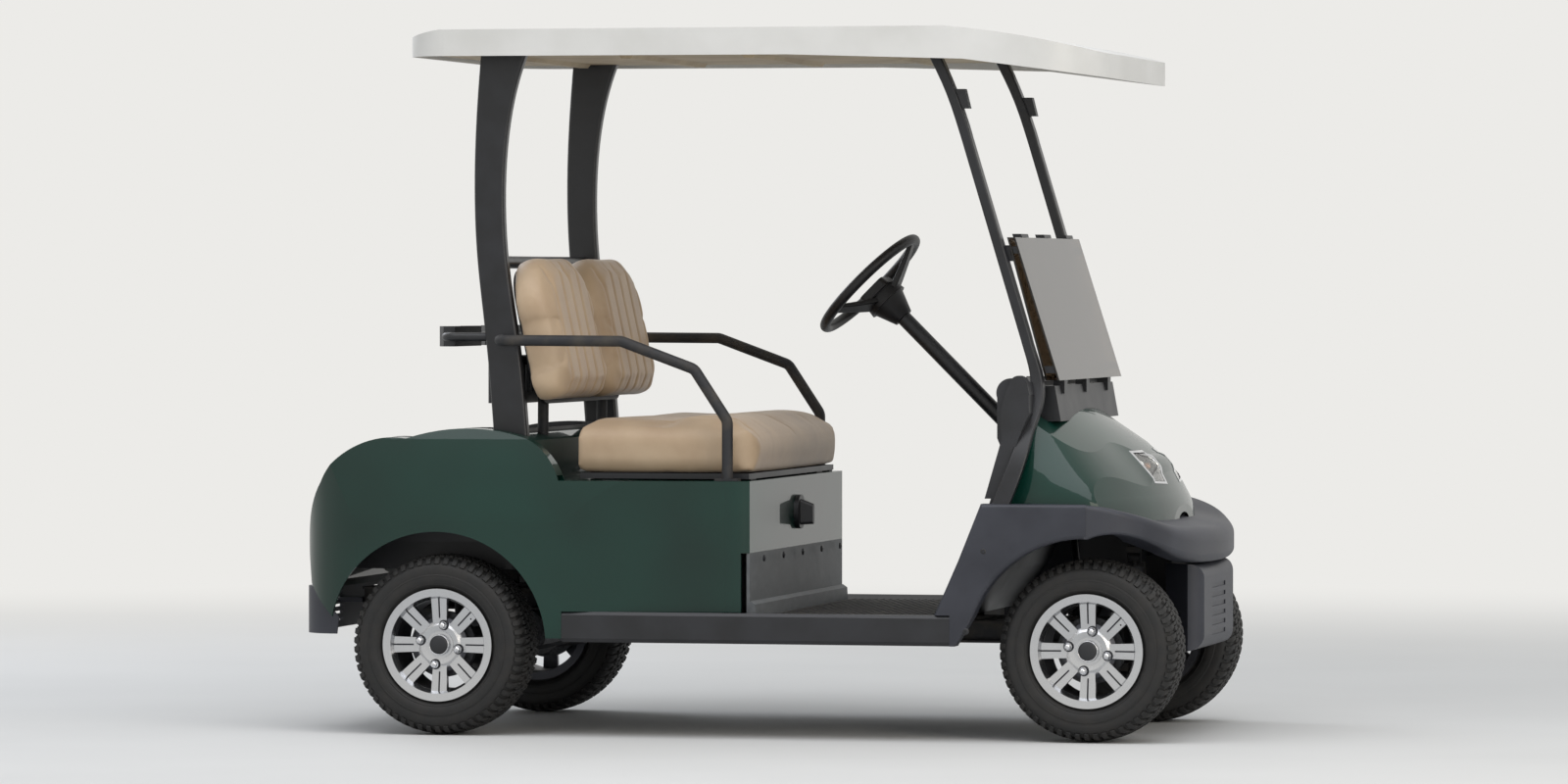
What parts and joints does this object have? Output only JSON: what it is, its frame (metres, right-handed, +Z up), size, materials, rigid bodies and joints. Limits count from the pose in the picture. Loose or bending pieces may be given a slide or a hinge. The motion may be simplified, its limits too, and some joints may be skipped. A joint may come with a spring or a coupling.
{
  "type": "golf cart",
  "caption": "Open golf cart with a bench seat for two, a hard roof on four struts, a moulded nose, a fold-down windshield and an open bag well.",
  "frame": {"origin": "on the ground, under the middle of the cart's length and width", "axes": "+X forward, +Y to the driver's left side, +Z up"},
  "size_m": [2.3099, 1.184, 1.7969],
  "materials": {
    "tyre": "matte",
    "alloy": "machined",
    "cast": "rough",
    "frame_steel": "satin",
    "strut_paint": "satin",
    "bright_steel": "brushed",
    "body_green": "gloss",
    "charcoal": "textured",
    "black_plastic": "satin",
    "grey_plastic": "satin",
    "roof_white": "satin",
    "vinyl": "satin",
    "mat_rubber": "matte",
    "grip": "satin",
    "tinted_acrylic": "gloss",
    "lamp_clear": "gloss",
    "lamp_red": "gloss",
    "battery_case": "matte"
  },
  "bodies": {
    "chassis": {"front_leaf_spring": "frame_steel", "front_wishbones": "frame_steel", "front_dampers": "frame_steel", "rack_housing": "cast", "steering_column": "black_plastic", "frame": "frame_steel", "floor_pan": "black_plastic", "floor_mat": "mat_rubber", "rear_axle": "cast", "rear_springs": "frame_steel", "rear_dampers": "frame_steel", "battery_pack": "battery_case", "front_fenders": "charcoal", "front_cowl": "body_green", "headlamps": "lamp_clear", "headlamp_bezels": "bright_steel", "front_bumper": "charcoal", "dashboard": "black_plastic", "pedals": "frame_steel", "rear_body": "body_green", "kick_panel": "grey_plastic", "bag_well": "black_plastic", "rear_bumper": "charcoal", "tail_lamps": "lamp_red", "direction_switch": "black_plastic", "seat_backs": "vinyl", "seat_back_shell": "black_plastic", "seat_back_legs": "frame_steel", "hip_restraints": "frame_steel", "roof": "roof_white", "roof_liner": "roof_white", "front_struts": "strut_paint", "rear_struts": "strut_paint", "bag_rack": "black_plastic", "sweater_basket": "black_plastic", "windshield_lower": "tinted_acrylic", "windshield_upper": "tinted_acrylic", "windshield_clips": "black_plastic", "windshield_sill": "black_plastic"},
    "steering_wheel": {"steering_wheel": "grip"},
    "steering_rack": {"steering_rack": "bright_steel"},
    "knuckle_left": {"knuckle_left": "cast"},
    "knuckle_right": {"knuckle_right": "cast"},
    "seat_lid": {"seat_cushion": "vinyl", "seat_board": "black_plastic"},
    "wheel_front_left": {"tyre_front_left": "tyre", "rim_front_left": "alloy", "brake_drum_front_left": "cast"},
    "wheel_front_right": {"tyre_front_right": "tyre", "rim_front_right": "alloy", "brake_drum_front_right": "cast"},
    "wheel_rear_left": {"tyre_rear_left": "tyre", "rim_rear_left": "alloy", "brake_drum_rear_left": "cast"},
    "wheel_rear_right": {"tyre_rear_right": "tyre", "rim_rear_right": "alloy", "brake_drum_rear_right": "cast"}
  },
  "joints": [
    {"name": "steering", "type": "hinge", "parent": "chassis", "child": "steering_wheel", "pos_m": [0.167, 0.28, 1.146], "axis": [-0.7071, 0, 0.7071], "range_deg": [-450, 450]},
    {"name": "rack_slide", "type": "slide", "parent": "chassis", "child": "steering_rack", "axis": [0, 1, 0], "range_m": [-0.043, 0.043]},
    {"name": "steer_left", "type": "hinge", "parent": "chassis", "child": "knuckle_left", "pos_m": [0.895, 0.362, 0.229], "axis": [0, 0, 1], "range_deg": [-29, 29]},
    {"name": "steer_right", "type": "hinge", "parent": "chassis", "child": "knuckle_right", "pos_m": [0.895, -0.362, 0.229], "axis": [0, 0, 1], "range_deg": [-29, 29]},
    {"name": "seat_lid_hinge", "type": "hinge", "parent": "chassis", "child": "seat_lid", "pos_m": [-0.42, 0, 0.654], "axis": [0, -1, 0], "range_deg": [0, 45]},
    {"name": "spin_front_left", "type": "hinge", "parent": "knuckle_left", "child": "wheel_front_left", "pos_m": [0.895, 0.438, 0.229], "axis": [0, 1, 0], "continuous": true},
    {"name": "spin_front_right", "type": "hinge", "parent": "knuckle_right", "child": "wheel_front_right", "pos_m": [0.895, -0.438, 0.229], "axis": [0, 1, 0], "continuous": true},
    {"name": "spin_rear_left", "type": "hinge", "parent": "chassis", "child": "wheel_rear_left", "pos_m": [-0.769, 0.49, 0.229], "axis": [0, 1, 0], "continuous": true},
    {"name": "spin_rear_right", "type": "hinge", "parent": "chassis", "child": "wheel_rear_right", "pos_m": [-0.769, -0.49, 0.229], "axis": [0, 1, 0], "continuous": true}
  ],
  "couplings": [
    {"joint": "steer_left", "follows": "steering", "ratio": 0.062222},
    {"joint": "steer_right", "follows": "steering", "ratio": 0.062222},
    {"joint": "rack_slide", "follows": "steering", "m_per_rad": -0.005102}
  ]
}
